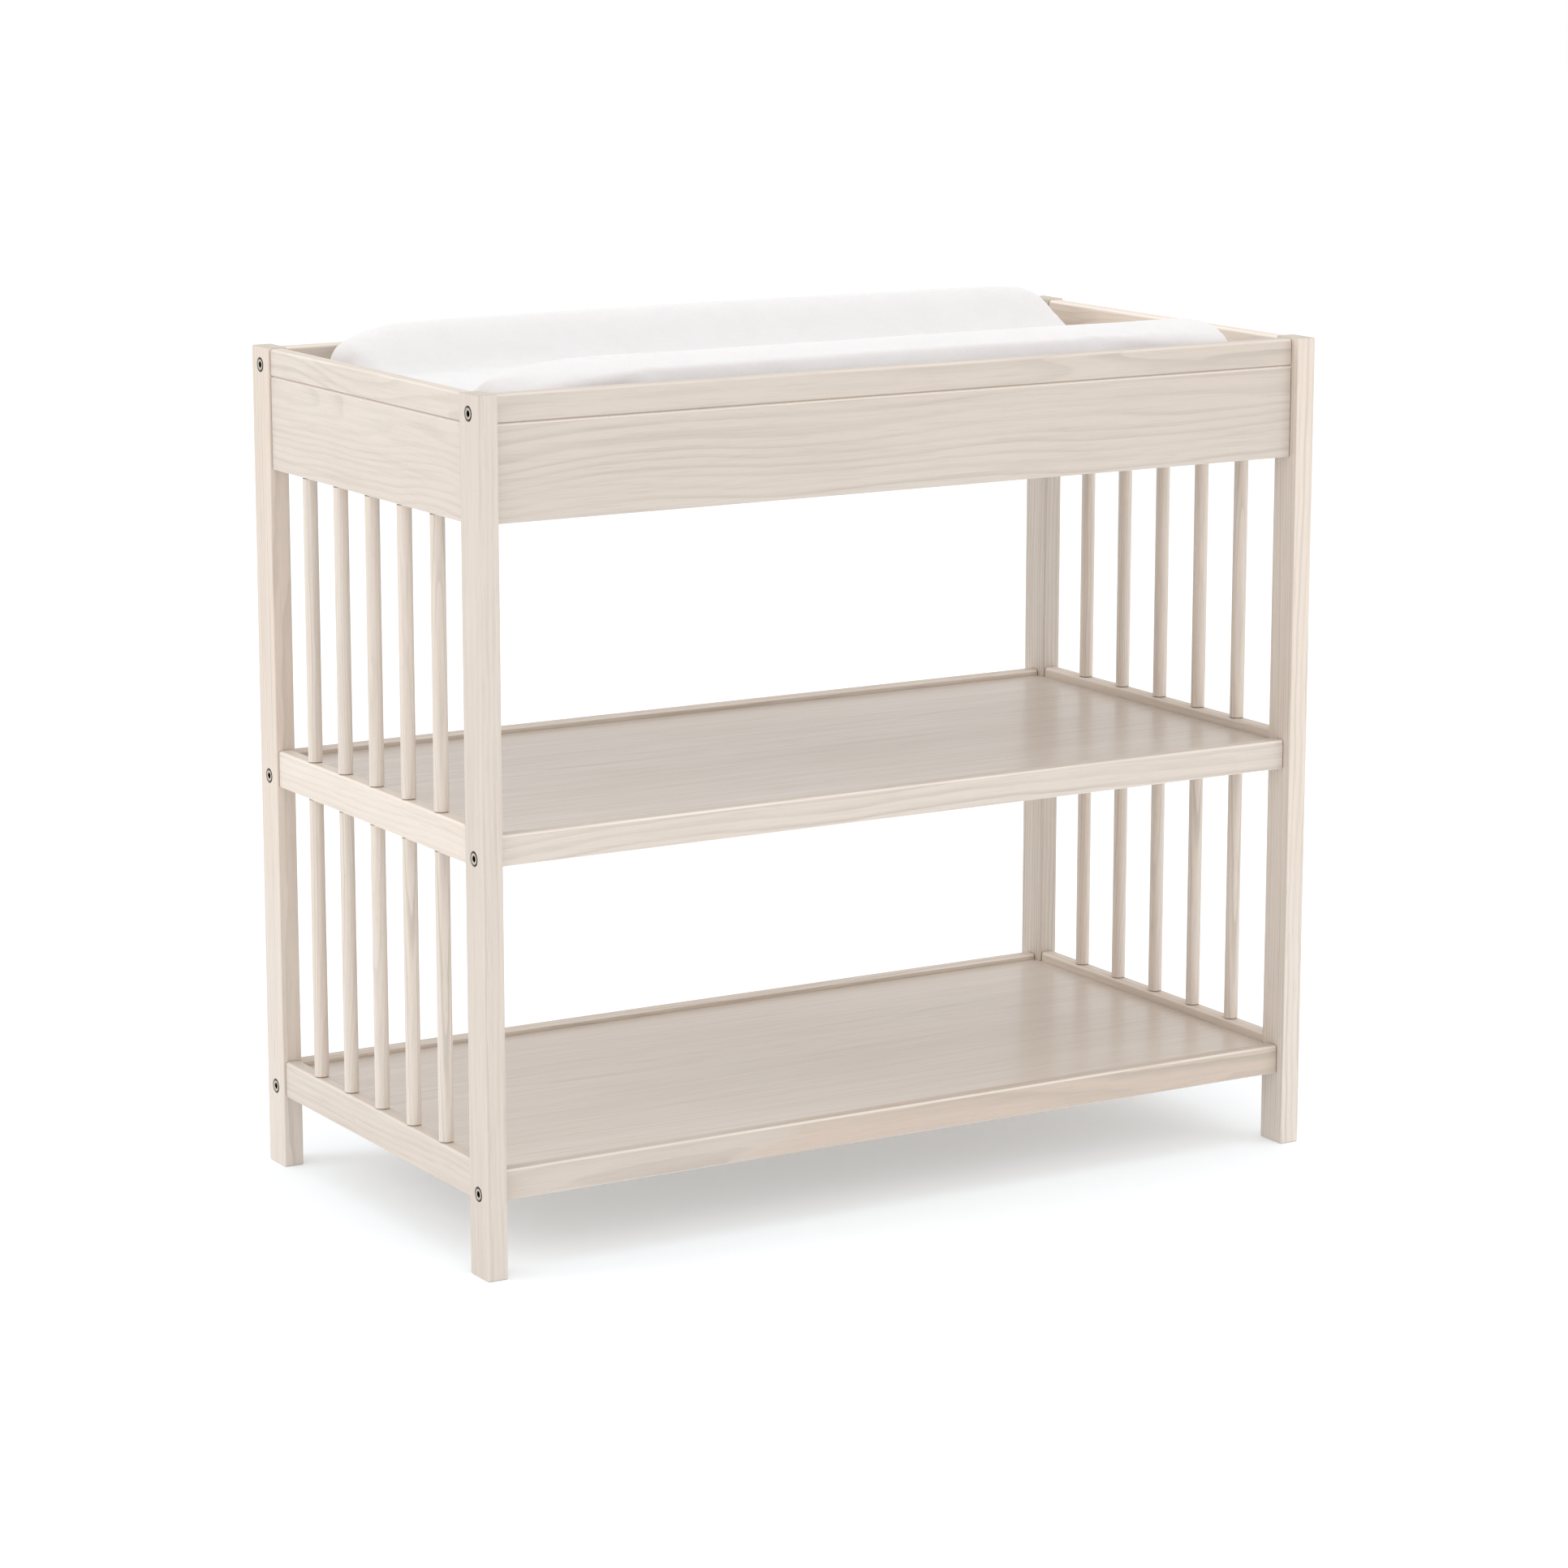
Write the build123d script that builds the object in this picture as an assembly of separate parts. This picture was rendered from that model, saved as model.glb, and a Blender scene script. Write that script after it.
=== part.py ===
from build123d import *
import os

os.makedirs("parts", exist_ok=True)

# Frame: origin at the centre of the footprint on the floor, +X along the length,
# -Y towards the open front where the user stands, +Z up. All sizes in millimetres.

# Driving dimensions
LENGTH = 948.0
DEPTH = 490.0
HEIGHT = 840.0

POST_X = 21.0            # post thickness along the length
POST_Y = 37.0            # post width along the depth
BOARD = 16.0             # thickness of every rail, apron and top panel
END_INSET = 3.0          # end boards sit back from the posts' outer faces
LONG_INSET = 11.0        # front and rear boards sit back from the posts' faces

BOTTOM_Z = 74.0          # underside of the lower tier of rails
MID_Z = 397.0            # underside of the middle tier of rails
PANEL_Z = 719.0          # underside of the top panels
PANEL_TOP = 839.0
END_RAIL_H = 37.0
APRON_H = 30.0
REAR_RAIL_H = 33.0
GROOVE_DROP = 27.5       # V-groove below the panels' top edge
GROOVE_W = 3.4
GROOVE_D = 2.4

SHELF_T = 12.0
SHELF_DROP = 3.0         # shelf surface below the apron's top edge
DECK_T = 10.0
DECK_TOP = 811.0
CLEAT = 15.0
CLEAT_L = 780.0

SPINDLES_PER_BAY = 5
SPINDLE_D = 14.5
TENON_D = 9.0
TENON_L = 9.0
SHOULDER = 0.9           # bevel at the spindles' shoulders

BOLT_LEVELS = (82.0, 406.0, 822.0)
BOLT_D = 6.0
BOLT_HEAD_D = 14.0
BOLT_HEAD_T = 2.5
BOLT_REACH = 40.0        # thread length past the post
BOLT_DOME = 1.6          # rounding of the head's rim
SOCKET_AF = 5.0
SOCKET_MOUTH = 0.7       # bevel where the socket opens
SOCKET_DEPTH = 3.0
NUT_D = 10.0
NUT_L = 13.0
NUT_X = 30.0             # barrel nut centre from the end of its board

DOWEL_D = 8.0
DOWEL_L = 24.0
LOCATING_LEVELS = (94.0, 418.0, 760.0)
FRAME_DOWEL_LEVELS = (92.5, 415.5, 740.0, 795.0)

SCREW_D = 3.5
SCREW_HEAD_D = 7.0
SCREW_HEAD_T = 2.2

PAD_L = 848.0
PAD_W = 432.0
PAD_X = -4.0             # the pad lies a little nearer to the left end of the tray
PAD_FRONT_H = 46.0
PAD_REAR_H = 52.0
PAD_FLOOR_H = 9.0
PAD_CREST = 51.0         # width of each raised side at its top
PAD_SLOPE = 90.0         # run of the slope down to the middle
PAD_END_R = 50.0
COVER_T = 2.0

EASE = 1.5               # softened long edges
EASE_END = 1.0           # softened edges at the ends of a piece
ROUND_TOP = 3.5          # rounded tops of the rails and aprons
FIT = 0.3                # clearance of loose pieces
HOLE_FIT = 0.1           # radial clearance round dowels and spindle tenons
POCKET = 0.5             # spare depth at the bottom of a drilled hole

# Values that follow from the driving dimensions
half_x = LENGTH / 2
half_y = DEPTH / 2
post_in_x = half_x - POST_X
post_in_y = half_y - POST_Y
end_mid_x = half_x - END_INSET - BOARD / 2
end_in_x = half_x - END_INSET - BOARD
long_mid_y = half_y - LONG_INSET - BOARD / 2
long_in_y = half_y - LONG_INSET - BOARD
spindle_gap = 2 * post_in_y / (SPINDLES_PER_BAY + 1)
spindle_ys = [(i + 1) * spindle_gap - post_in_y for i in range(SPINDLES_PER_BAY)]
bolt_y = long_mid_y
cleat_y = long_in_y - CLEAT / 2

SIDES = {"left": -1, "right": 1}
FACES = {"front": -1, "rear": 1}


def save(shape, name):
    """Write one piece, or one group of equal pieces, as its own node."""
    shape.label = name
    export_step(shape, f"parts/{name}.step")


def block(x0, x1, y0, y1, z0, z1):
    """A box between two corners, whichever way round each pair is given."""
    centre = ((x0 + x1) / 2, (y0 + y1) / 2, (z0 + z1) / 2)
    return Pos(*centre) * Box(abs(x1 - x0), abs(y1 - y0), abs(z1 - z0))


def rod_x(x0, x1, y, z, diameter):
    """A round bar along X."""
    return Pos((x0 + x1) / 2, y, z) * Rot(0, 90, 0) * Cylinder(diameter / 2, abs(x1 - x0))


def rod_y(x, y0, y1, z, diameter):
    """A round bar along Y."""
    return Pos(x, (y0 + y1) / 2, z) * Rot(90, 0, 0) * Cylinder(diameter / 2, abs(y1 - y0))


def rod_z(x, y, z0, z1, diameter):
    """A round bar along Z."""
    return Pos(x, y, (z0 + z1) / 2) * Cylinder(diameter / 2, abs(z1 - z0))


def edges_at(shape, axis, height):
    """Edges lying wholly in the plane at one height along an axis."""
    return shape.edges().filter_by_position(axis, height - 0.01, height + 0.01)


def post(side, face):
    """Corner post, drilled for its three bolts and for every dowel."""
    outer_x, inner_x = side * half_x, side * post_in_x
    outer_y, inner_y = face * half_y, face * post_in_y
    body = block(outer_x, inner_x, outer_y, inner_y, 0, HEIGHT)
    body = fillet(body.edges().filter_by(Axis.Z), EASE)
    body = fillet(edges_at(body, Axis.Z, HEIGHT), EASE_END)
    body = chamfer(edges_at(body, Axis.Z, 0), EASE_END)
    y = face * bolt_y
    for z in BOLT_LEVELS:
        body -= rod_x(outer_x, inner_x, y, z, BOLT_D + 0.5)
        body -= rod_x(outer_x, outer_x - side * BOLT_HEAD_T, y, z, BOLT_HEAD_D + 1)
    half_dowel = DOWEL_L / 2 + POCKET
    for z in LOCATING_LEVELS:
        hole = rod_x(inner_x, inner_x + side * half_dowel, y, z, DOWEL_D + 2 * HOLE_FIT)
        body -= hole
    for z in FRAME_DOWEL_LEVELS:
        x = side * end_mid_x
        body -= rod_y(x, inner_y, inner_y + face * half_dowel, z, DOWEL_D + 2 * HOLE_FIT)
    return body


def end_board(side, z0, z1, levels, grooved=False):
    """Board across one end between two posts, drilled for the frame dowels."""
    x_out = side * (half_x - END_INSET)
    x_in = side * end_in_x
    body = block(x_out, x_in, -post_in_y, post_in_y, z0, z1)
    body = fillet(edges_at(body, Axis.Z, z1).filter_by(Axis.Y), ROUND_TOP)
    body = fillet(edges_at(body, Axis.Z, z0).filter_by(Axis.Y), EASE)
    body = chamfer(edges_at(body, Axis.X, x_out).filter_by(Axis.Z), EASE_END)
    if grooved:
        body -= groove_y(x_out, side, z1 - GROOVE_DROP)
    for face in FACES.values():
        end = face * post_in_y
        for z in levels:
            depth = face * (DOWEL_L / 2 + POCKET)
            body -= rod_y(side * end_mid_x, end, end - depth, z, DOWEL_D + 2 * HOLE_FIT)
    return body


def groove_y(x_face, side, z):
    """V-shaped cutter along Y, at the outer face of an end panel."""
    section = Plane.XZ * Polyline(
        (x_face + side, z + GROOVE_W / 2),
        (x_face, z + GROOVE_W / 2),
        (x_face - side * GROOVE_D, z),
        (x_face, z - GROOVE_W / 2),
        (x_face + side, z - GROOVE_W / 2),
        close=True,
    )
    return extrude(make_face(section), DEPTH, both=True)


def groove_x(y_face, face, z):
    """V-shaped cutter along X, at the outer face of a front or rear panel."""
    section = Plane.YZ * Polyline(
        (y_face + face, z + GROOVE_W / 2),
        (y_face, z + GROOVE_W / 2),
        (y_face - face * GROOVE_D, z),
        (y_face, z - GROOVE_W / 2),
        (y_face + face, z - GROOVE_W / 2),
        close=True,
    )
    return extrude(make_face(section), LENGTH, both=True)


def long_board(face, z0, z1, level, grooved=False):
    """Board along the front or rear, drilled for bolts, barrel nuts and dowels."""
    y_out = face * (half_y - LONG_INSET)
    y_in = face * long_in_y
    body = block(-post_in_x, post_in_x, y_out, y_in, z0, z1)
    body = fillet(edges_at(body, Axis.Z, z1).filter_by(Axis.X), ROUND_TOP)
    body = fillet(edges_at(body, Axis.Z, z0).filter_by(Axis.X), EASE)
    body = chamfer(edges_at(body, Axis.Y, y_out).filter_by(Axis.Z), EASE_END)
    if grooved:
        body -= groove_x(y_out, face, z1 - GROOVE_DROP)
    y = face * bolt_y
    for side in SIDES.values():
        end = side * post_in_x
        bolt_end = end - side * (BOLT_REACH + POCKET)
        dowel_end = end - side * (DOWEL_L / 2 + POCKET)
        nut_x = end - side * NUT_X
        body -= rod_x(end, bolt_end, y, BOLT_LEVELS[level], BOLT_D + 0.5)
        body -= rod_x(end, dowel_end, y, LOCATING_LEVELS[level], DOWEL_D + 2 * HOLE_FIT)
        body -= rod_y(nut_x, y_in, y_in + face * NUT_L, BOLT_LEVELS[level], NUT_D)
    return body


def spindle(side, y, z0, z1):
    """Plain round spindle with a smaller tenon at each end."""
    x = side * end_mid_x
    body = rod_z(x, y, z0, z1, SPINDLE_D)
    body = chamfer(body.edges().filter_by(GeomType.CIRCLE), SHOULDER)
    body += rod_z(x, y, z0 - TENON_L, z1 + TENON_L, TENON_D)
    tips = edges_at(body, Axis.Z, z0 - TENON_L) + edges_at(body, Axis.Z, z1 + TENON_L)
    return chamfer(tips, 0.8)


def drill_for_spindles(body, side, z_face, up):
    """Cut the tenon holes of one bay into the board above or below it."""
    x = side * end_mid_x
    for y in spindle_ys:
        z_end = z_face + up * (TENON_L + POCKET)
        body -= rod_z(x, y, z_face - up * 0.2, z_end, TENON_D + 2 * HOLE_FIT)
    return body


def shelf(top, thickness):
    """Panel between the end boards, notched at its corners round the four posts."""
    x = end_in_x - FIT
    y = long_in_y - FIT
    body = block(-x, x, -y, y, top - thickness, top)
    for side in SIDES.values():
        for face in FACES.values():
            body -= block(
                side * (post_in_x - FIT), side * half_x,
                face * (post_in_y - FIT), face * half_y,
                top - thickness, top,
            )
    return body


def cleat(face, top):
    """Square batten under a shelf or the deck, against the long board's inside."""
    y_out = face * long_in_y
    y_in = face * (long_in_y - CLEAT)
    body = block(-CLEAT_L / 2, CLEAT_L / 2, y_out, y_in, top - CLEAT, top)
    inner = edges_at(body, Axis.Y, y_in).filter_by(Axis.X)
    return chamfer(inner, EASE)


def bolt(side, face, z):
    """Connector bolt: a flat head with a hex socket, and a plain shank."""
    y = face * bolt_y
    outer = side * half_x
    under_head = outer - side * BOLT_HEAD_T
    tip = side * (post_in_x - BOLT_REACH)
    head = rod_x(outer, under_head, y, z, BOLT_HEAD_D)
    head = fillet(edges_at(head, Axis.X, outer), BOLT_DOME)
    shank = rod_x(under_head, tip, y, z, BOLT_D)
    shank = chamfer(edges_at(shank, Axis.X, tip), 0.8)
    face_plane = Plane(origin=(outer, y, z), x_dir=(0, 1, 0), z_dir=(side, 0, 0))
    hexagon = face_plane * RegularPolygon(SOCKET_AF / 2, 6, major_radius=False)
    body = head + shank - extrude(hexagon, -SOCKET_DEPTH)
    mouth = face_plane * Circle(SOCKET_AF / 2 + SOCKET_MOUTH)
    return body - extrude(mouth, -SOCKET_MOUTH, taper=45)


def barrel_nut(side, face, z):
    """Cross dowel nut in the long board, with a driver slot in its end."""
    x = side * (post_in_x - NUT_X)
    y_in = face * long_in_y
    body = rod_y(x, y_in + face * 0.5, y_in + face * NUT_L, z, NUT_D)
    body -= rod_x(x - NUT_D, x + NUT_D, face * bolt_y, z, BOLT_D)
    slot = block(x - NUT_D, x + NUT_D, y_in, y_in + face * 2.0, z - 0.75, z + 0.75)
    return body - slot


def locating_dowel(side, face, z):
    """Wooden dowel between a long board's end and its post."""
    centre = side * post_in_x
    y = face * bolt_y
    body = rod_x(centre - DOWEL_L / 2, centre + DOWEL_L / 2, y, z, DOWEL_D)
    return chamfer(body.edges().filter_by(GeomType.CIRCLE), 0.8)


def frame_dowel(side, face, z):
    """Wooden dowel between an end board and its post."""
    centre = face * post_in_y
    x = side * end_mid_x
    body = rod_y(x, centre - DOWEL_L / 2, centre + DOWEL_L / 2, z, DOWEL_D)
    return chamfer(body.edges().filter_by(GeomType.CIRCLE), 0.8)


def screw(origin, axis, length):
    """Countersunk screw whose head lies flush at origin, driven along axis."""
    frame = Plane(origin=origin, z_dir=axis)
    section = Plane.XZ * Polyline(
        (0, 0),
        (SCREW_HEAD_D / 2, 0),
        (SCREW_D / 2, SCREW_HEAD_T),
        (SCREW_D / 2, length - 2 * SCREW_D),
        (0, length),
        close=True,
    )
    turned = revolve(make_face(section), Axis.Z)
    return frame.location * turned


def spread(count, reach):
    """Evenly spaced stations, symmetric about the middle."""
    return [reach * (2 * i / (count - 1) - 1) for i in range(count)]


def shelf_screws(top):
    """Screws up through both cleats into the underside of a shelf."""
    z = top - SHELF_T - CLEAT
    return [
        screw((x, face * cleat_y, z), (0, 0, 1), CLEAT + SHELF_T - 4)
        for face in FACES.values()
        for x in spread(4, CLEAT_L / 2 - 40)
    ]


def cleat_screws(top):
    """Screws out through both cleats of one tier into the long boards."""
    return [
        screw((x, face * (long_in_y - CLEAT), top - CLEAT / 2), (0, face, 0), CLEAT + BOARD - 5)
        for face in FACES.values()
        for x in spread(3, CLEAT_L / 2 - 90)
    ]


def deck_screws():
    """Screws down through the tray deck into its cleats."""
    return [
        screw((x, face * cleat_y, DECK_TOP), (0, 0, -1), DECK_T + CLEAT - 4)
        for face in FACES.values()
        for x in spread(4, CLEAT_L / 2 - 40)
    ]


def pad_form(shrink):
    """Contoured pad: raised front and rear sides, low middle, rounded ends."""
    w = PAD_W / 2 - shrink
    z0 = DECK_TOP + FIT + shrink
    crest = w - PAD_CREST + shrink
    flat = crest - PAD_SLOPE
    front = DECK_TOP + PAD_FRONT_H - shrink
    rear = DECK_TOP + PAD_REAR_H - shrink
    low = DECK_TOP + PAD_FLOOR_H - shrink
    corners = [
        (-w, z0), (-w, front), (-crest, front), (-flat, low),
        (flat, low), (crest, rear), (w, rear), (w, z0),
    ]
    radii = [4, 28, 90, 120, 120, 90, 28, 4]
    outline = Plane.YZ * FilletPolyline(*corners, radius=radii, close=True)
    length = PAD_L - 2 * shrink
    body = extrude(make_face(outline), length / 2, both=True)
    plan = RectangleRounded(length, 2 * w, PAD_END_R)
    body &= Pos(0, 0, DECK_TOP) * extrude(plan, PAD_REAR_H * 2)
    return Pos(PAD_X, 0, 0) * body


def group(shapes):
    """Separate equal pieces kept together in one node."""
    return Compound(children=list(shapes))


def on_face(shapes, face):
    """Those of a set of pieces that lie on the front or the rear half."""
    return [item for item in shapes if item.center().Y * face > 0]


def cut_screws(body, screws):
    """Take the screws' own space out of a board, so that nothing overlaps."""
    for item in screws:
        body -= item
    return body


# Tiers: the surface that each pair of cleats carries, and the screws of each tier
shelf_tops = {
    "mid": MID_Z + APRON_H - SHELF_DROP,
    "bottom": BOTTOM_Z + APRON_H - SHELF_DROP,
}
cleat_tops = {tier: top - SHELF_T for tier, top in shelf_tops.items()}
cleat_tops["deck"] = DECK_TOP - DECK_T
upright_screws = {tier: shelf_screws(top) for tier, top in shelf_tops.items()}
upright_screws["deck"] = deck_screws()
side_screws = {tier: cleat_screws(top) for tier, top in cleat_tops.items()}

# Posts
for face_name, face in FACES.items():
    for side_name, side in SIDES.items():
        save(post(side, face), f"post_{face_name}_{side_name}")

# End frames: grooved top panel, mid rail, bottom rail and two bays of spindles
lower_bay = (BOTTOM_Z + END_RAIL_H, MID_Z)
upper_bay = (MID_Z + END_RAIL_H, PANEL_Z)
for side_name, side in SIDES.items():
    panel = end_board(side, PANEL_Z, PANEL_TOP, FRAME_DOWEL_LEVELS[2:], grooved=True)
    panel = drill_for_spindles(panel, side, upper_bay[1], 1)
    save(panel, f"end_panel_{side_name}")
    rail = end_board(side, MID_Z, upper_bay[0], FRAME_DOWEL_LEVELS[1:2])
    rail = drill_for_spindles(rail, side, upper_bay[0], -1)
    rail = drill_for_spindles(rail, side, lower_bay[1], 1)
    save(rail, f"end_mid_rail_{side_name}")
    rail = end_board(side, BOTTOM_Z, lower_bay[0], FRAME_DOWEL_LEVELS[:1])
    rail = drill_for_spindles(rail, side, lower_bay[0], -1)
    save(rail, f"end_bottom_rail_{side_name}")
    for bay_name, bay in (("lower", lower_bay), ("upper", upper_bay)):
        for number, y in enumerate(spindle_ys, start=1):
            save(spindle(side, y, *bay), f"spindle_{side_name}_{bay_name}_{number}")

# Front and rear boards, and the cleats behind them
for face_name, face in FACES.items():
    rail_h = APRON_H if face_name == "front" else REAR_RAIL_H
    kind = "apron" if face_name == "front" else "rail"
    boards = {
        "bottom": (f"{face_name}_bottom_{kind}", BOTTOM_Z, BOTTOM_Z + rail_h, False),
        "mid": (f"{face_name}_mid_{kind}", MID_Z, MID_Z + rail_h, False),
        "deck": (f"{face_name}_top_panel", PANEL_Z, PANEL_TOP, True),
    }
    for level, (tier, (name, z0, z1, grooved)) in enumerate(boards.items()):
        board = long_board(face, z0, z1, level, grooved)
        across = on_face(side_screws[tier], face)
        save(cut_screws(board, across), name)
        batten = cut_screws(cleat(face, cleat_tops[tier]), across)
        batten = cut_screws(batten, on_face(upright_screws[tier], face))
        save(batten, f"{tier}_cleat_{face_name}")

# Shelves and the tray deck under the pad
for tier, top in shelf_tops.items():
    save(cut_screws(shelf(top, SHELF_T), upright_screws[tier]), f"{tier}_shelf")
save(cut_screws(shelf(DECK_TOP, DECK_T), upright_screws["deck"]), "tray_deck")

# Fasteners, one node for each set of equal pieces
for side_name, side in SIDES.items():
    spots = [(side, face, z) for face in FACES.values() for z in BOLT_LEVELS]
    save(group(bolt(*spot) for spot in spots), f"frame_bolts_{side_name}")
    save(group(barrel_nut(*spot) for spot in spots), f"barrel_nuts_{side_name}")
    spots = [(side, face, z) for face in FACES.values() for z in LOCATING_LEVELS]
    save(group(locating_dowel(*spot) for spot in spots), f"locating_dowels_{side_name}")
    spots = [(side, face, z) for face in FACES.values() for z in FRAME_DOWEL_LEVELS]
    save(group(frame_dowel(*spot) for spot in spots), f"frame_dowels_{side_name}")
save(group(upright_screws["deck"]), "deck_screws")
save(group(upright_screws["mid"] + upright_screws["bottom"]), "shelf_screws")
save(group(sum(side_screws.values(), [])), "cleat_screws")

# Loose changing pad: foam core inside its fabric cover
core = pad_form(COVER_T)
save(core, "pad_foam_core")
save(pad_form(0) - core, "pad_cover")
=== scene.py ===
import math
import random

import bmesh
import bpy
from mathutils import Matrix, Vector, noise


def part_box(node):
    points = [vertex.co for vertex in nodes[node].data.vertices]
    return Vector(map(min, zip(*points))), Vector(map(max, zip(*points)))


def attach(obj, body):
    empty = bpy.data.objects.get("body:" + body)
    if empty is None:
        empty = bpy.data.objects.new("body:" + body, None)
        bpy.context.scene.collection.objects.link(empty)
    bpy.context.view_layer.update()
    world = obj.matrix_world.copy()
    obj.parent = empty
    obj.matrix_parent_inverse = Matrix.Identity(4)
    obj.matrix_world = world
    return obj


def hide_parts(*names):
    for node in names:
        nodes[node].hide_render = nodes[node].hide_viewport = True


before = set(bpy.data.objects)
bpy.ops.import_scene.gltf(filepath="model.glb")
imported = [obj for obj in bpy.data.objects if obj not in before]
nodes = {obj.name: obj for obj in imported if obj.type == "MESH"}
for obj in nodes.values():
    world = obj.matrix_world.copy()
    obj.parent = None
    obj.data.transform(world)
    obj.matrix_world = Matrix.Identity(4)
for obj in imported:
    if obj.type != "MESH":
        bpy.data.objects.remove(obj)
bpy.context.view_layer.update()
MM = 0.001

# ---------------------------------------------------------------- camera

CAMERA_AZIMUTH = -30.8
CAMERA_ELEVATION = 11.64
CAMERA_DISTANCE = 4.84
CAMERA_LENS = 109.1
CAMERA_TARGET = Vector((-0.007, -0.0056, 0.389))
SENSOR_WIDTH = 36.0


def make_camera():
    """Long lens, front left of the table, looking slightly down."""
    camera = bpy.data.objects.new("camera", bpy.data.cameras.new("camera"))
    bpy.context.scene.collection.objects.link(camera)
    azimuth = math.radians(CAMERA_AZIMUTH)
    elevation = math.radians(CAMERA_ELEVATION)
    back = Vector((
        math.sin(azimuth) * math.cos(elevation),
        -math.cos(azimuth) * math.cos(elevation),
        math.sin(elevation),
    ))
    camera.location = CAMERA_TARGET + back * CAMERA_DISTANCE
    camera.rotation_mode = "QUATERNION"
    camera.rotation_quaternion = (-back).to_track_quat("-Z", "Y")
    camera.data.lens = CAMERA_LENS
    camera.data.sensor_width = SENSOR_WIDTH
    camera.data.dof.use_dof = False
    bpy.context.scene.camera = camera


# ---------------------------------------------------------------- node graphs

class Graph:
    """A material under construction: adds nodes, sets their inputs and links them."""

    def __init__(self, name):
        self.material = bpy.data.materials.new(name)
        self.material.use_nodes = True
        self.tree = self.material.node_tree
        self.tree.nodes.clear()
        self.output = self.tree.nodes.new("ShaderNodeOutputMaterial")

    def put(self, socket, value):
        """Links an output to the socket, or sets the socket to a plain value."""
        if isinstance(value, bpy.types.NodeSocket):
            self.tree.links.new(value, socket)
        elif value is not None:
            socket.default_value = value

    def node(self, kind, inputs=(), **settings):
        made = self.tree.nodes.new("ShaderNode" + kind)
        for key, value in settings.items():
            setattr(made, key, value)
        for key, value in dict(inputs).items():
            self.put(made.inputs[key], value)
        return made

    def coords(self):
        return self.node("TexCoord").outputs["Object"]

    def math(self, operation, a, b=None):
        made = self.node("Math", operation=operation)
        for socket, value in zip(made.inputs, (a, b)):
            self.put(socket, value)
        return made.outputs[0]

    def vector(self, operation, a, b=None):
        made = self.node("VectorMath", operation=operation)
        for socket, value in zip(made.inputs, (a, b)):
            self.put(socket, value)
        return made.outputs[0]

    def noise(self, vector, scale, detail=2.0, roughness=0.5, distortion=0.0):
        made = self.node("TexNoise", {
            "Vector": vector, "Scale": scale, "Detail": detail,
            "Roughness": roughness, "Distortion": distortion,
        })
        return made.outputs["Fac"]

    def ramp(self, value, low, high, out_low=0.0, out_high=1.0):
        """Smooth step from out_low to out_high while value goes from low to high."""
        made = self.node("MapRange", {
            "Value": value, "From Min": low, "From Max": high,
            "To Min": out_low, "To Max": out_high,
        }, interpolation_type="SMOOTHSTEP")
        return made.outputs["Result"]

    def mix(self, factor, a, b):
        made = self.node("Mix", data_type="RGBA", blend_type="MIX")
        self.put(made.inputs["Factor"], factor)
        self.put(made.inputs[6], a)
        self.put(made.inputs[7], b)
        return made.outputs[2]

    def bump(self, height, distance, strength):
        made = self.node("Bump", {"Height": height, "Distance": distance, "Strength": strength})
        return made.outputs["Normal"]

    def shader(self, **inputs):
        """Principled shader; an underscore in a name stands for a space."""
        made = self.node("BsdfPrincipled")
        for key, value in inputs.items():
            self.put(made.inputs[key.replace("_", " ")], value)
        self.tree.links.new(made.outputs[0], self.output.inputs["Surface"])
        return self.material


def rgb(red, green, blue):
    """A colour given as 0-255 display values, as the linear value that the shader takes."""
    def linear(value):
        value /= 255
        return value / 12.92 if value <= 0.04045 else ((value + 0.055) / 1.055) ** 2.4
    return (linear(red), linear(green), linear(blue), 1.0)


# ---------------------------------------------------------------- wood

GRAIN_TURN = {"X": (0, 0, 0), "Y": (0, 0, -math.pi / 2), "Z": (0, math.pi / 2, 0)}
PINE_LIGHT = rgb(218, 207, 196)
PINE_DARK = rgb(178, 167, 155)
PINE_WARM = rgb(216, 199, 184)
# lighter rounded edges: part thin wash, part painted highlight
PINE_RUB_AND_HIGHLIGHT = rgb(244, 235, 225)
PINE_KNOT = rgb(150, 124, 100)
END_OPEN = rgb(196, 186, 171)      # end grain in the open, on top of the posts
END_BUTTED_SHADED = rgb(138, 120, 102)    # end grain where a piece butts against another, darkened further as painted shade in the crevice of the joint
# painted shade and painted highlight for the panels' groove
GROOVE_SHADE = rgb(150, 131, 112)
GROOVE_LIP_HIGHLIGHT = rgb(240, 231, 222)
GROOVE_DROP = 27.5 * MM            # groove below the top edge of a panel
GROOVE_REACH = 3.0 * MM

# how finely each pattern repeats along, and across, the grain
COVER_GRAIN = (3.0, 22.0, 22.0)
FIBRE_GRAIN = (22.0, 900.0, 900.0)
STREAK_GRAIN = (6.0, 160.0, 160.0)
CLOUD_GRAIN = (3.5, 9.0, 9.0)
CANAL_GRAIN = (70.0, 1500.0, 1500.0)
KNOT_GRAIN = (7.0, 14.0, 14.0)
RIPPLE = 2.5 * MM                  # fine waver of the rings
GRAIN_RELIEF = 0.12 * MM


def shade(colour, factor):
    """The same colour, lighter or darker."""
    return tuple(value * factor for value in colour[:3]) + (1.0,)


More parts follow.
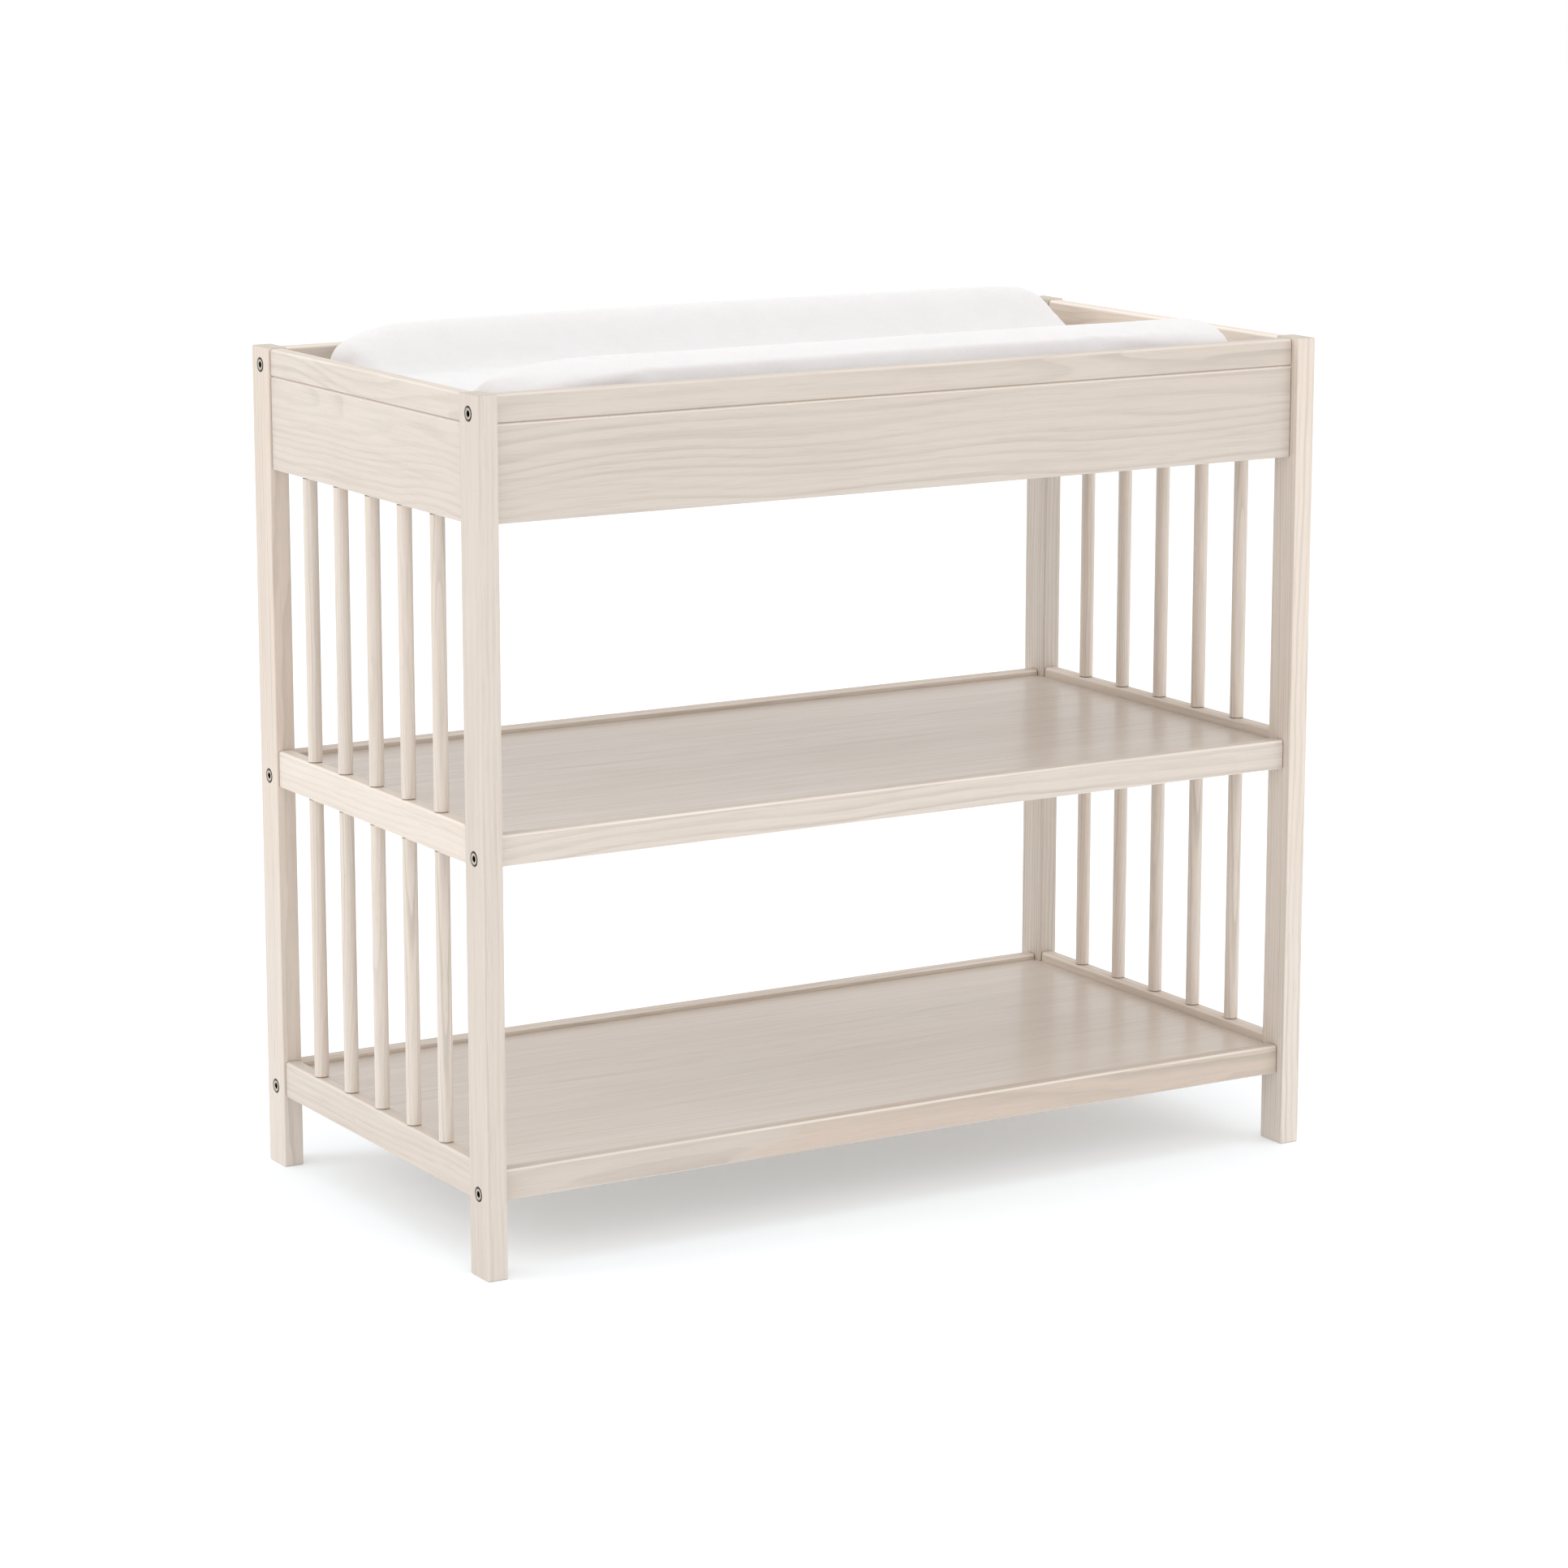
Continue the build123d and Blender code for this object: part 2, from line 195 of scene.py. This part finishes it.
def growth_rings(g, along, ring, wander, drift):
    """Dark late wood of rings round a pith line that strays along the board."""
    slow = g.vector("MULTIPLY", along, (drift, 4.0, 4.0))
    stray = g.node("TexNoise", {"Vector": slow, "Scale": 1.0, "Detail": 1.5, "Roughness": 0.45})
    stray = g.vector("SUBTRACT", stray.outputs["Color"], (0.5, 0.5, 0.5))
    stray = g.vector("MULTIPLY", stray, (0.0, 4.0 * wander, 4.0 * wander))
    ripple = g.vector("MULTIPLY", along, (9.0 * drift, 40.0, 40.0))
    ripple = g.node("TexNoise", {"Vector": ripple, "Scale": 1.0, "Detail": 2.0, "Roughness": 0.5})
    ripple = g.vector("SUBTRACT", ripple.outputs["Color"], (0.5, 0.5, 0.5))
    ripple = g.vector("MULTIPLY", ripple, (0.0, RIPPLE, RIPPLE))
    place = g.vector("ADD", g.vector("ADD", along, stray), ripple)
    flat = g.vector("MULTIPLY", place, (0.0, 1.0, 1.0))
    distance = g.node("VectorMath", operation="LENGTH")
    g.put(distance.inputs[0], flat)
    turns = g.math("DIVIDE", distance.outputs["Value"], ring)
    turns = g.math("ADD", turns, g.math("MULTIPLY", g.noise(flat, 45.0, 1.0), 1.6))
    phase = g.math("FRACT", turns)
    late = g.math("MULTIPLY", g.ramp(phase, 0.38, 0.90), g.ramp(phase, 1.0, 0.93))
    year = g.node("TexWhiteNoise", {"W": g.math("FLOOR", turns)}, noise_dimensions="1D")
    return g.math("MULTIPLY", late, g.ramp(year.outputs["Value"], 0.0, 1.0, 0.45, 1.0))


def surface_turn(g, axis):
    """How far the surface turns towards the grain's end, off the flat, and up."""
    normal = g.node("TexCoord").outputs["Normal"]
    parts = g.node("SeparateXYZ", {"Vector": normal}).outputs
    size = [g.math("ABSOLUTE", part) for part in parts]
    largest = g.math("MAXIMUM", g.math("MAXIMUM", size[0], size[1]), size[2])
    return size["XYZ".index(axis)], largest, parts[2]


def pine(name, axis, pith, ring=6.5 * MM, wander=20 * MM, drift=1.6, figure=0.34, warmth=0.35,
         rough=0.46, tone=1.0, end=END_BUTTED_SHADED, rub_and_highlight=0.5, groove=None, lacquer=0.0,
         fibres=1.0):
    """Washed pine whose growth rings turn round a pith line along the grain axis.

    pith is a point on that line. ring is the mean ring width. wander is how far the
    rings stray along the board and drift how often. figure is how dark the rings show,
    tone the board's lightness (on the middle shelf partly painted shade), rub_and_highlight
    the lighter colour of its rounded edges, part wear and part painted highlight, groove the
    height of a groove with painted shade on its upper wall and a painted highlight on its
    lower lip, lacquer the weight of a satin coat, fibres the strength of the fine streaks.
    """
    g = Graph(name)
    here = g.coords()
    centred = g.vector("SUBTRACT", here, tuple(pith))
    turn = g.node("Mapping", {"Vector": centred, "Rotation": GRAIN_TURN[axis]})
    along = turn.outputs["Vector"]
    light, dark = shade(PINE_LIGHT, tone), shade(PINE_DARK, tone)

    # the wash covers the rings unevenly
    late = growth_rings(g, along, ring, wander, drift)
    cover = g.noise(g.vector("MULTIPLY", along, COVER_GRAIN), 1.0, 2.0)
    rings = g.math("MULTIPLY", late, g.ramp(cover, 0.30, 0.66, 0.4, 1.0))
    fibre = g.noise(g.vector("MULTIPLY", along, FIBRE_GRAIN), 1.0, 3.0, 0.6)
    streak = g.noise(g.vector("MULTIPLY", along, STREAK_GRAIN), 1.0, 2.0, 0.55)
    cloud = g.noise(g.vector("MULTIPLY", along, CLOUD_GRAIN), 1.0, 2.0)
    canal = g.noise(g.vector("MULTIPLY", along, CANAL_GRAIN), 1.0, 1.0)

    colour = g.mix(g.ramp(cloud, 0.3, 0.7, 0.0, warmth), light, shade(PINE_WARM, tone))
    colour = g.mix(g.math("MULTIPLY", rings, figure), colour, dark)
    colour = g.mix(g.ramp(streak, 0.45, 0.8, 0.0, 0.20 * fibres), colour, dark)
    colour = g.mix(g.ramp(fibre, 0.50, 0.72, 0.0, 0.26 * fibres), colour, dark)
    colour = g.mix(g.ramp(canal, 0.70, 0.76, 0.0, 0.22), colour, PINE_KNOT)

    # pin knots, a few to a board
    cells = g.node("TexVoronoi", {
        "Vector": g.vector("MULTIPLY", along, KNOT_GRAIN), "Scale": 1.0,
    })
    chosen = g.node("SeparateColor", {"Color": cells.outputs["Color"]}).outputs[0]
    spot = g.ramp(cells.outputs["Distance"], 0.05, 0.018)
    knot = g.math("MULTIPLY", spot, g.ramp(chosen, 0.90, 0.92))
    colour = g.mix(g.math("MULTIPLY", knot, 0.6), colour, PINE_KNOT)

    # lighter rounded edges, part thin wash and part painted highlight; bare dark end grain, where
    # butted also painted shade in the crevice of the joint
    to_end, flatness, up = surface_turn(g, axis)
    rub_and_highlight_mask = g.math("MULTIPLY", g.ramp(flatness, 0.985, 0.86), g.ramp(streak, 0.3, 0.6, 0.4, 1.0))
    colour = g.mix(g.math("MULTIPLY", rub_and_highlight_mask, rub_and_highlight), colour, shade(PINE_RUB_AND_HIGHLIGHT, tone))
    # end grain; the butted colour also paints the shade in the crevice where pieces meet
    ends = g.ramp(to_end, 0.45, 0.72)
    colour = g.mix(ends, colour, g.mix(g.math("MULTIPLY", late, 0.5), end, shade(end, 0.7)))
    # painted shade on the groove's upper wall, which faces down, and a painted highlight on its
    # lower lip, which faces up
    if groove is not None:
        height = g.node("SeparateXYZ", {"Vector": here}).outputs[2]
        away = g.math("ABSOLUTE", g.math("SUBTRACT", height, groove))
        near = g.ramp(away, GROOVE_REACH, GROOVE_REACH - 0.5 * MM)
        groove_shade_mask = g.math("MULTIPLY", near, g.ramp(up, -0.3, -0.6))
        groove_highlight_mask = g.math("MULTIPLY", near, g.ramp(up, 0.3, 0.6))
        colour = g.mix(g.math("MULTIPLY", groove_shade_mask, 0.6), colour, GROOVE_SHADE)
        colour = g.mix(groove_highlight_mask, colour, GROOVE_LIP_HIGHLIGHT)

    relief = g.math("ADD", g.math("MULTIPLY", fibre, 0.5), g.math("MULTIPLY", rings, -0.35))
    polish = g.ramp(streak, 0.3, 0.7, rough - 0.05, rough + 0.08)
    return g.shader(
        Base_Color=colour,
        Roughness=polish,
        Specular_IOR_Level=0.42,
        Coat_Weight=lacquer,
        Coat_Roughness=0.20,
        Normal=g.bump(relief, GRAIN_RELIEF, 0.7),
    )


def paint(node, material):
    """Gives one CAD node its finished material."""
    data = nodes[node].data
    for index in range(len(data.materials)):
        data.materials[index] = material


def middle(node):
    """Centre of a node's box."""
    low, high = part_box(node)
    return (low + high) / 2


# each board's own lightness and warmth
BOARD_LOOK = {
    "front_top_panel": (0.86, 0.40),
    "front_mid_apron": (0.935, 0.2),
    "front_bottom_apron": (0.855, 1.5),
    "end_panel_left": (0.95, 0.35),
    "end_panel_right": (1.12, 0.5),
    "end_mid_rail_left": (1.07, 0.35),
    "post_front_left": (0.93, 0.35),
    "end_bottom_rail_left": (0.95, 0.45),
    "post_front_right": (1.04, 0.45),
    "post_rear_left": (1.04, 0.7),
    "post_rear_right": (0.91, 0.5),
}
PLAIN_LOOK = (1.0, 0.5)
WOOD_SEED = 7
# the middle shelf is set darker than the other shelves as painted shade from the tiers over it
SHELF_TONES_AND_SHADE = {"mid_shelf": 0.86, "bottom_shelf": 0.91, "tray_deck": 0.91}


def finish_posts(draw):
    """Narrow-ringed posts, each cut from its own place in the log."""
    for name in sorted(nodes):
        if name.startswith("post_"):
            offset = Vector((draw.uniform(-0.09, 0.09), draw.uniform(0.03, 0.08), 0))
            tone, warmth = BOARD_LOOK[name]
            paint(name, pine(
                "pine_" + name, "Z", middle(name) + offset, ring=3.2 * MM, wander=6 * MM,
                figure=0.46 if "front" in name else 0.75, warmth=warmth, tone=tone,
                end=END_OPEN, rub_and_highlight=0.2,
            ))


def finish_boards(draw):
    """Boards along X and Y; the panels' pith lies near, so their rings open out."""
    for name in sorted(nodes):
        centre = middle(name)
        tone, warmth = BOARD_LOOK.get(name, PLAIN_LOOK)
        panel = "panel" in name
        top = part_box(name)[1].z
        groove = top - GROOVE_DROP if panel else None
        if name.startswith("end_"):
            side = 1 if centre.x < 0 else -1
            back = 0.024 if panel else draw.uniform(0.03, 0.06)
            pith = centre + Vector((side * back, 0, 0.022 if panel else 0.04))
            paint(name, pine(
                "pine_" + name, "Y", pith, ring=5.8 * MM, wander=(14 if panel else 8) * MM,
                drift=2.6, figure=0.32, warmth=warmth, tone=tone, groove=groove,
            ))
        elif name.endswith(("_top_panel", "_apron", "_rail")):
            side = 1 if centre.y < 0 else -1
            lift = 0.045 if panel else draw.uniform(-0.06, 0.06)
            pith = centre + Vector((0, side * (0.030 if panel else 0.05), lift))
            paint(name, pine(
                "pine_" + name, "X", pith, ring=(7.6 if panel else 5.0) * MM,
                wander=(20 if panel else 12) * MM, figure=0.40 if panel else 0.55,
                warmth=warmth, tone=tone, groove=groove, rub_and_highlight=0.5 if panel else 0.9,
            ))


def finish_spindles():
    """One length of turned stock for all the spindles of an end."""
    for side in ("left", "right"):
        pith = middle(f"spindle_{side}_lower_3") + Vector((0.05, 0.02, 0))
        material = pine(
            f"pine_spindles_{side}", "Z", pith, ring=3 * MM, wander=12 * MM, figure=0.62, rub_and_highlight=0.0,
            tone=1.04,
        )
        for name in nodes:
            if name.startswith(f"spindle_{side}"):
                paint(name, material)


def finish_wood():
    """A pith line of its own for each post, board and shelf; shared stock for the rest."""
    draw = random.Random(WOOD_SEED)
    finish_posts(draw)
    finish_boards(draw)
    finish_spindles()
    for name, tone in SHELF_TONES_AND_SHADE.items():
        pith = middle(name) + Vector((0, 0.04, -0.06))
        paint(name, pine(
            "pine_" + name, "X", pith, ring=8 * MM, wander=30 * MM, figure=0.20, rough=0.36,
            tone=tone, lacquer=0.30, fibres=0.45,
        ))
    plain = pine("pine_cleats", "X", Vector((0.1, 0.05, 0.3)), figure=0.5, rough=0.62)
    beech = pine("beech_dowels", "X", Vector((0.1, 0.07, 0.2)), figure=0.3, warmth=1.0, rub_and_highlight=0.0)
    for name in nodes:
        if "_cleat_" in name:
            paint(name, plain)
        elif "_dowels_" in name:
            paint(name, beech)


# ---------------------------------------------------------------- metal

BOLT_Y = 226 * MM
BOLT_LEVELS = (82 * MM, 406 * MM, 822 * MM)
SOCKET_R = 3.2 * MM
HEAD_RIM_R = 5.0 * MM
TURNING_GRAIN = (400.0, 2600.0, 2600.0)
TURNING_RELIEF = 0.03 * MM
NICKEL = rgb(196, 186, 170)
ZINC = rgb(190, 192, 196)
TARNISH = rgb(110, 100, 88)
# painted shade for the bolt heads' sockets and rims
RECESS_SHADE = rgb(46, 39, 33)


def bolt_radius(g, here):
    """Distance from the axis of the nearest bolt."""
    parts = g.node("SeparateXYZ", {"Vector": here}).outputs
    sideways = g.math("SUBTRACT", g.math("ABSOLUTE", parts[1]), BOLT_Y)
    heights = [g.math("ABSOLUTE", g.math("SUBTRACT", parts[2], z)) for z in BOLT_LEVELS]
    nearest = g.math("MINIMUM", g.math("MINIMUM", heights[0], heights[1]), heights[2])
    squares = g.math("ADD", g.math("POWER", g.math("ABSOLUTE", sideways), 2.0),
                     g.math("POWER", nearest, 2.0))
    return g.math("SQRT", squares)


def plated(name, tint, rough, socket_shade=None):
    """Plated steel with turning marks; the optional dark colour is painted shade in its sockets and
    round its head rims.
    """
    g = Graph(name)
    here = g.coords()
    smear = g.noise(here, 380.0, 3.0)
    marks = g.noise(g.vector("MULTIPLY", here, TURNING_GRAIN), 1.0, 2.0)
    colour = g.mix(g.ramp(smear, 0.4, 0.75, 0.0, 0.4), tint, TARNISH)
    if socket_shade is not None:
        # painted shade: dark in the hex socket and round the head's rim
        radius = bolt_radius(g, here)
        inside = g.ramp(radius, SOCKET_R + 0.3 * MM, SOCKET_R - 0.3 * MM)
        rim = g.ramp(radius, HEAD_RIM_R, HEAD_RIM_R + 0.8 * MM)
        colour = g.mix(g.math("MAXIMUM", inside, rim), colour, socket_shade)
    return g.shader(
        Base_Color=colour,
        Metallic=1.0,
        Roughness=g.ramp(smear, 0.3, 0.7, rough - 0.06, rough + 0.1),
        Normal=g.bump(marks, TURNING_RELIEF, 0.5),
    )


def finish_metal():
    """Nickel on the bolts that show, zinc on the fasteners inside."""
    bolts = plated("bolt_nickel", NICKEL, 0.18, socket_shade=RECESS_SHADE)
    zinc = plated("zinc_plate", ZINC, 0.38)
    for name in nodes:
        if name.startswith("frame_bolts"):
            paint(name, bolts)
        elif name.startswith("barrel_nuts") or name.endswith("screws"):
            paint(name, zinc)


# ---------------------------------------------------------------- changing pad

PAD_CORNER = 50 * MM           # plan radius of the pad's corners
PAD_SIDE_R = 17 * MM
PAD_END_MARGIN = 4.0 * MM      # the simulated form starts this much smaller
PAD_SIDE_MARGIN = 2.0 * MM
PAD_VOXEL = 5.5 * MM
PAD_FLOOR = 7 * MM
FRONT_RIDGE = (42 * MM, 152 * MM, 13 * MM)    # height, distance out, droop to the edge
REAR_RIDGE = (48 * MM, 168 * MM, 6 * MM)
PAD_FLAT = 72 * MM             # the low middle reaches this far from the centre line
LEFT_END = (140 * MM, 2.8)     # run and fullness of the rounding at each end
RIGHT_END = (50 * MM, 3.0)
SWELL_CAP = 4 * MM
CREASE_FROM_LEFT = 130 * MM    # where the small creases gather on the front ridge
CREASE_RUN = 110 * MM
CREASE_WIDTH = 30 * MM
CREASE_SKIP = 4 * MM           # the flat underside stays smooth
LOOSE_RUN = 340 * MM           # the cover is looser over this stretch from the left
FOLD_LIFT = 0.9 * MM
TUCK_LIFT = 1.7 * MM
FOAM_UNEVEN = 0.8 * MM
PAD_COLUMNS = 170
PAD_ROWS = 96
RIM_CROWDING = 0.35            # how much closer the grid's lines come near the rims
SWELL_FRAMES = 20
PLUSH_LIGHT = rgb(222, 220, 220)
PLUSH_SHADED = rgb(220, 218, 218)
PLUSH_DEEP = rgb(211, 209, 210)
PILE_RELIEF = 0.6 * MM


def smooth_step(value):
    """0 to 1 with level ends."""
    value = min(1.0, max(0.0, value))
    return value * value * (3 - 2 * value)


def bulge(inset, radius, power=3.0):
    """Height share of an edge that rounds over within radius of its rim."""
    share = 1 - min(1.0, max(0.0, inset / radius))
    return (1 - share ** power) ** (1 / power)


def pad_thickness(along, across, half_l, half_w):
    """Thickness of the foam at a point, from the raised sides to the low middle."""
    ridge, crest, droop = FRONT_RIDGE if across < 0 else REAR_RIDGE
    rise = smooth_step((abs(across) - PAD_FLAT) / (crest - PAD_FLAT))
    body = PAD_FLOOR + (ridge - PAD_FLOOR) * rise
    beyond = max(0.0, abs(across) - crest) / (half_w - crest)
    body -= droop * beyond ** 2
    body += FOAM_UNEVEN * noise.noise(Vector((along * 6, across * 9, 3.1)))
    end = bulge(half_l + along, *LEFT_END) * bulge(half_l - along, *RIGHT_END)
    side = bulge(half_w - abs(across), PAD_SIDE_R, 2.6)
    return body * end * side


def pad_grid(low, high):
    """Closed starting form of the cover: a top surface that shares its rim with a flat
    underside."""
    centre = (low + high) / 2
    half_l = (high.x - low.x) / 2 - PAD_END_MARGIN
    half_w = (high.y - low.y) / 2 - PAD_SIDE_MARGIN
    columns, rows = PAD_COLUMNS, PAD_ROWS
    bm = bmesh.new()

    def station(index, count):
        """Runs from -1 to 1, closer together towards the rims."""
        share = index / count
        crowded = math.sin((share - 0.5) * math.pi)
        return crowded * RIM_CROWDING + (share * 2 - 1) * (1 - RIM_CROWDING)

    def narrow(along):
        """Half width at one station: the plan's corners are rounded."""
        inset = max(0.0, PAD_CORNER - (half_l - abs(along)))
        return half_w - PAD_CORNER + math.sqrt(max(0.0, PAD_CORNER ** 2 - inset ** 2))

    top, bottom = [], []
    for i in range(columns + 1):
        along = half_l * station(i, columns)
        width = narrow(along)
        top.append([])
        bottom.append([])
        for j in range(rows + 1):
            across = width * station(j, rows)
            rim = i in (0, columns) or j in (0, rows)
            thick = 0.0 if rim else pad_thickness(along, across, half_l, width)
            x, y = centre.x + along, centre.y + across
            under = bm.verts.new((x, y, low.z))
            bottom[-1].append(under)
            top[-1].append(under if rim else bm.verts.new((x, y, low.z + thick)))
    for i in range(columns):
        for j in range(rows):
            a, b = bottom[i][j], bottom[i + 1][j]
            c, d = bottom[i + 1][j + 1], bottom[i][j + 1]
            bm.faces.new((d, c, b, a))
            a, b = top[i][j], top[i + 1][j]
            c, d = top[i + 1][j + 1], top[i][j + 1]
            bm.faces.new((a, b, c, d))
    mesh = bpy.data.meshes.new("pad_plush_cover")
    bmesh.ops.recalc_face_normals(bm, faces=bm.faces[:])
    bm.to_mesh(mesh)
    bm.free()
    return mesh


def apply_modifiers(piece):
    """Replaces the piece's mesh with what its modifiers make of it."""
    graph = bpy.context.evaluated_depsgraph_get()
    mesh = bpy.data.meshes.new_from_object(piece.evaluated_get(graph))
    piece.modifiers.clear()
    piece.data = mesh


def simulate_cover(piece):
    """Swells the cover over its foam, so the cloth tightens on the ridges."""
    before = [v.co.copy() for v in piece.data.vertices]
    cloth = piece.modifiers.new("cloth", "CLOTH")
    settings = cloth.settings
    settings.quality = 6
    settings.mass = 0.35
    settings.tension_stiffness = 18
    settings.compression_stiffness = 18
    settings.shear_stiffness = 8
    settings.bending_stiffness = 0.8
    settings.use_pressure = True
    settings.uniform_pressure_force = 4.0
    settings.shrink_min = -0.012
    settings.effector_weights.gravity = 0.0
    cloth.collision_settings.use_collision = False
    cloth.collision_settings.use_self_collision = False
    scene = bpy.context.scene
    for number in range(1, SWELL_FRAMES + 1):
        scene.frame_set(number)
    apply_modifiers(piece)
    for vertex, start in zip(piece.data.vertices, before):
        shift = vertex.co - start
        if shift.length > SWELL_CAP:
            vertex.co = start + shift * (SWELL_CAP / shift.length)
    scene.frame_set(1)


def rest_in_tray(piece, low, high):
    """Keeps the cover on the deck and between the panels."""
    for vertex in piece.data.vertices:
        vertex.co.x = min(high.x, max(low.x, vertex.co.x))
        vertex.co.y = min(high.y, max(low.y, vertex.co.y))
        vertex.co.z = max(low.z, vertex.co.z)


def crease(piece):
    """Gentle creases in the loose cover, with small sharp ones on the front ridge."""
    low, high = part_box("pad_cover")
    crest = (low.y + high.y) / 2 - FRONT_RIDGE[1]
    for vertex in piece.data.vertices:
        point = vertex.co
        if point.z < low.z + CREASE_SKIP:
            continue
        from_left = point.x - low.x
        near_left = smooth_step(1 - from_left / LOOSE_RUN)
        swirl = noise.noise(Vector((point.x * 7, point.y * 7, 1.7)))
        fold = noise.noise(Vector((point.x * 30 + 3 * swirl, point.y * 16, 5.0)))
        lift = (0.3 + 0.5 * near_left) * FOLD_LIFT * fold
        gather = smooth_step(1 - abs(point.y - crest) / CREASE_WIDTH)
        gather *= smooth_step(1 - abs(from_left - CREASE_FROM_LEFT) / CREASE_RUN)
        tuck = noise.noise(Vector((point.x * 150, point.y * 60 + point.x * 50, 9.0)))
        lift += gather * TUCK_LIFT * tuck
        vertex.co.z += lift


def plush(name):
    """White fine-pile fabric: faint sheen, short pile in clumps, faint nap shading."""
    g = Graph(name)
    here = g.coords()
    pile = g.noise(here, 2200.0, 2.0, 0.6)
    clump = g.noise(here, 420.0, 3.0, 0.6)
    nap = g.noise(here, 26.0, 3.0, 0.55, 0.6)
    colour = g.mix(g.ramp(nap, 0.35, 0.7), PLUSH_LIGHT, PLUSH_SHADED)
    colour = g.mix(g.ramp(clump, 0.5, 0.75, 0.0, 0.35), colour, PLUSH_DEEP)
    height = g.math("ADD", g.math("MULTIPLY", clump, 0.7), g.math("MULTIPLY", pile, 0.3))
    return g.shader(
        Base_Color=colour,
        Roughness=0.92,
        Diffuse_Roughness=1.0,
        Subsurface_Weight=0.7,
        Subsurface_Radius=(1.0, 0.7, 0.7),
        Subsurface_Scale=0.02,
        Specular_IOR_Level=0.2,
        Sheen_Weight=0.10,
        Sheen_Roughness=0.5,
        Normal=g.bump(height, PILE_RELIEF, 0.6),
    )


def make_pad():
    """The loose pad's cover, which stands for both of the pad's plain solids."""
    low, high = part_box("pad_cover")
    piece = bpy.data.objects.new("pad_plush_cover", pad_grid(low, high))
    bpy.context.scene.collection.objects.link(piece)
    remesh = piece.modifiers.new("remesh", "REMESH")
    remesh.mode = "VOXEL"
    remesh.voxel_size = PAD_VOXEL
    remesh.use_smooth_shade = True
    apply_modifiers(piece)
    simulate_cover(piece)
    rest_in_tray(piece, low, high)
    subdivide = piece.modifiers.new("subdivide", "SUBSURF")
    subdivide.levels = 1
    subdivide.render_levels = 1
    apply_modifiers(piece)
    crease(piece)
    piece.data.shade_smooth()
    piece.data.materials.clear()
    piece.data.materials.append(plush("pad_plush"))
    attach(piece, "pad")
    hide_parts("pad_cover", "pad_foam_core")


# ---------------------------------------------------------------- stage

FLOOR_SIZE = 30.0
FLOOR_PALE = (0.855, 0.88, 0.905, 1)
FLOOR_SHADED = (0.835, 0.86, 0.885, 1)
GLOW_TINT = (0.94, 0.975, 1.0, 1.0)
FLOOR_GLOW = 0.22        # the floor's own faint light keeps the shadow soft and pale
WORLD_STRENGTH = 1.0


def make_floor():
    """Plain pale floor, wide enough to reach the horizon softly."""
    mesh = bpy.data.meshes.new("floor")
    half = FLOOR_SIZE / 2
    corners = [(-half, -half, 0), (half, -half, 0), (half, half, 0), (-half, half, 0)]
    mesh.from_pydata(corners, [], [(0, 1, 2, 3)])
    floor = bpy.data.objects.new("floor", mesh)
    bpy.context.scene.collection.objects.link(floor)
    g = Graph("floor_paper")
    grain = g.noise(g.coords(), 60.0, 2.0)
    colour = g.mix(grain, FLOOR_PALE, FLOOR_SHADED)
    mesh.materials.append(g.shader(
        Base_Color=colour,
        Roughness=0.75,
        Specular_IOR_Level=0.2,
        Emission_Color=GLOW_TINT,
        Emission_Strength=FLOOR_GLOW,
    ))


def make_light(name, location, target, size, power):
    """A large softbox aimed at a point."""
    data = bpy.data.lights.new(name, "AREA")
    data.shape = "RECTANGLE"
    data.size, data.size_y = size
    data.energy = power
    light = bpy.data.objects.new(name, data)
    bpy.context.scene.collection.objects.link(light)
    light.location = location
    direction = Vector(target) - Vector(location)
    light.rotation_mode = "QUATERNION"
    light.rotation_quaternion = direction.to_track_quat("-Z", "Y")
    light.visible_camera = False


def make_world(strength):
    """Even white surround."""
    world = bpy.data.worlds.new("studio")
    world.use_nodes = True
    background = world.node_tree.nodes["Background"]
    background.inputs["Color"].default_value = (1.0, 1.0, 1.0, 1.0)
    background.inputs["Strength"].default_value = strength
    bpy.context.scene.world = world


make_camera()
finish_wood()
finish_metal()
make_pad()
make_floor()
make_world(WORLD_STRENGTH)
make_light("key", location=(-4.2, 1.2, 3.2), target=(0, 0, 0.4), size=(2.4, 2.4), power=41)
make_light("front_right", location=(2.4, -2.4, 2), target=(0.5, 0, 0.45), size=(1.6, 1.4), power=10)
make_light("front", location=(-0.6, -3.4, 2.6), target=(0, -0.1, 0.3), size=(1.8, 1.8), power=12)
make_light("overhead", location=(0, -0.7, 3.2), target=(0, -0.1, 0), size=(1.8, 1.8), power=6.5)
bpy.context.scene.view_settings.view_transform = "Standard"
